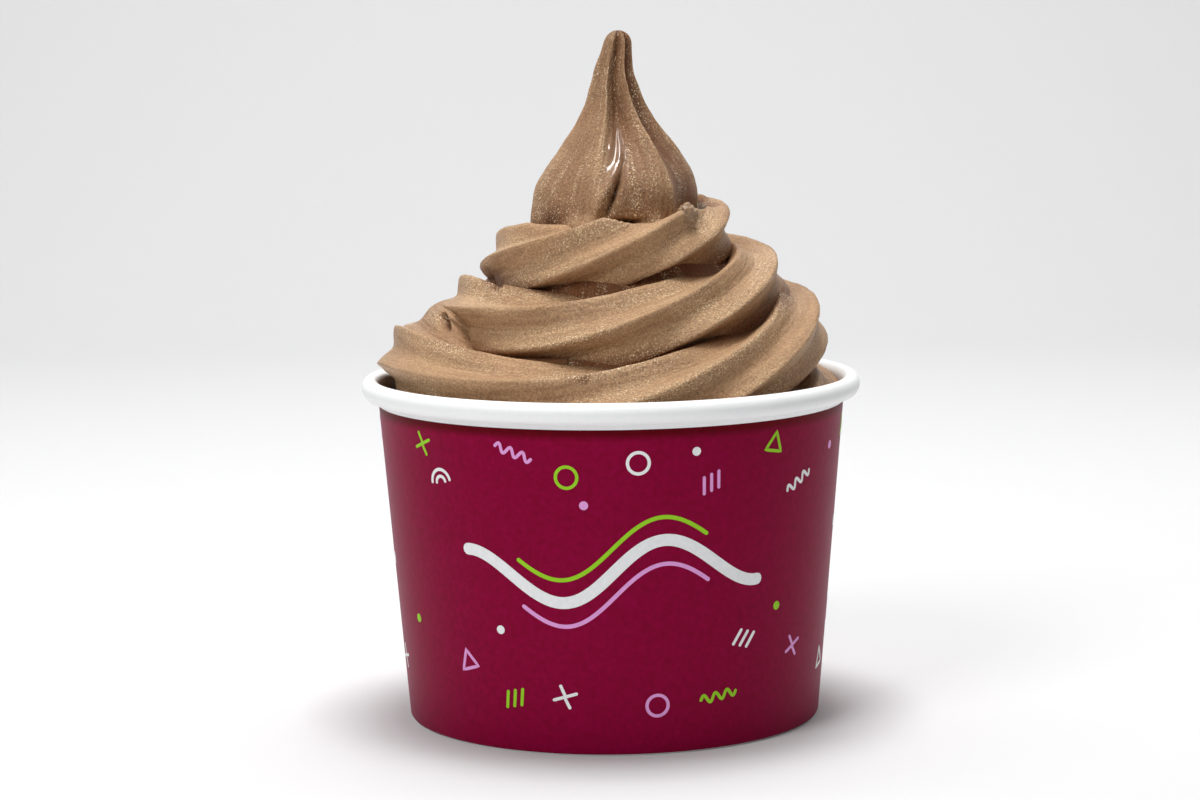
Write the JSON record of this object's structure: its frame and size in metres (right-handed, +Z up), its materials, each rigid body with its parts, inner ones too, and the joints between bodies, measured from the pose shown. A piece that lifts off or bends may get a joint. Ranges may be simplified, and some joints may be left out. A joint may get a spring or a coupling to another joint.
{
  "type": "frozen yogurt cup",
  "caption": "Soft-serve frozen yogurt piped as a ridged spiral with a drawn-up peak, filling a tapered paper cup with a rolled rim.",
  "frame": {"origin": "on the table under the middle of the cup's foot", "axes": "+Z up along the cup's axis; -Y is the side that the picture shows"},
  "size_m": [0.112, 0.112, 0.1538],
  "materials": {
    "cup_print": "printed coated cup board, satin, with a bare white rim",
    "cup_board": "white coated cup board, satin",
    "froyo": "frozen milk chocolate yogurt, satin with fine ice crystals and wet highlights"
  },
  "bodies": {
    "root": {"cup_wall": "cup_print", "cup_bottom": "cup_board", "froyo_swirl": "froyo"}
  },
  "joints": []
}
